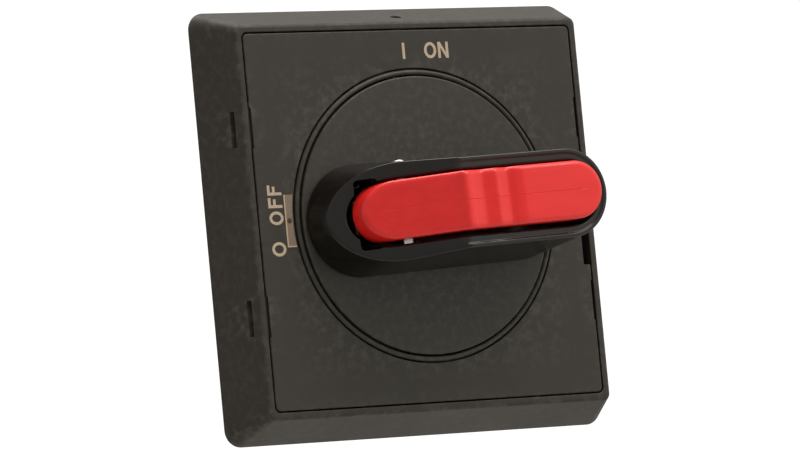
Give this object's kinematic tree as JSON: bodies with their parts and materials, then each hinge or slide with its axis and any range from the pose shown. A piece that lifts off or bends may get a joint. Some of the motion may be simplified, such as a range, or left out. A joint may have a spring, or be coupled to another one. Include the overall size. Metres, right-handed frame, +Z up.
{
  "type": "rotary isolator switch handle",
  "caption": "Square door-mounted rotary isolator handle: sloped housing, snap-in cover plate, turning disc with a raised black grip and a red tilt-out lever that takes padlocks.",
  "frame": {"origin": "on the turning axis, in the plane of the housing's back, which lies on the door", "axes": "+Y back through the door along the turning axis, +Z up, +X right as seen by someone facing the handle"},
  "size_m": [0.09, 0.0655, 0.09],
  "materials": {
    "housing_plastic": "fine matte moulded texture",
    "plate_plastic": "fine satin moulded texture",
    "disc_plastic": "satin",
    "grip_plastic": "gloss black",
    "lever_plastic": "semi-gloss red",
    "steel": "bright zinc plated",
    "zinc": "die-cast, satin",
    "acetal": "natural, satin",
    "rubber": "soft matte"
  },
  "bodies": {
    "housing": {"bezel_frame": "housing_plastic", "panel_gasket": "rubber", "cover_plate": "plate_plastic", "bead_ring": "housing_plastic", "lock_ring": "steel", "lock_ring_screw_1": "steel", "lock_ring_screw_2": "steel", "hub_bush": "acetal", "hub_seal": "rubber", "fixing_screw_1": "steel", "fixing_screw_2": "steel", "fixing_screw_3": "steel", "fixing_screw_4": "steel", "fixing_nut_1": "steel", "fixing_nut_2": "steel", "fixing_nut_3": "steel", "fixing_nut_4": "steel", "release_spring": "steel"},
    "handle": {"dial_disc": "disc_plastic", "drive_hub": "grip_plastic", "thrust_washer": "acetal", "retaining_clip": "steel", "shaft_coupler": "zinc", "coupler_set_screw": "steel", "hub_screw": "steel", "handle_grip": "grip_plastic", "lever_pin": "steel", "lever_spring": "steel"},
    "lever": {"lock_lever": "lever_plastic"},
    "tongue": {"lock_tongue": "grip_plastic"},
    "release": {"release_slider": "acetal"}
  },
  "joints": [
    {"name": "handle_turn", "type": "hinge", "parent": "housing", "child": "handle", "pos_m": [0, 0, 0], "axis": [0, 1, 0], "range_deg": [0, 92.5]},
    {"name": "lever_tilt", "type": "hinge", "parent": "handle", "child": "lever", "pos_m": [-0.01249, -0.0258, -0.00055], "axis": [0.0436, 0, -0.999], "range_deg": [0, 25], "stiffness_Nm_per_rad": 0.04, "springref_deg": -17.19},
    {"name": "tongue_drop", "type": "slide", "parent": "handle", "child": "tongue", "axis": [0, 1, 0], "range_m": [0, 0.0045]},
    {"name": "release_press", "type": "slide", "parent": "housing", "child": "release", "axis": [0, 0, -1], "range_m": [0, 0.003], "stiffness_N_per_m": 250, "springref_m": -0.002, "deforming": ["release_spring"]}
  ],
  "couplings": [
    {"joint": "tongue_drop", "follows": "lever_tilt", "m_per_rad": 0.0092}
  ]
}
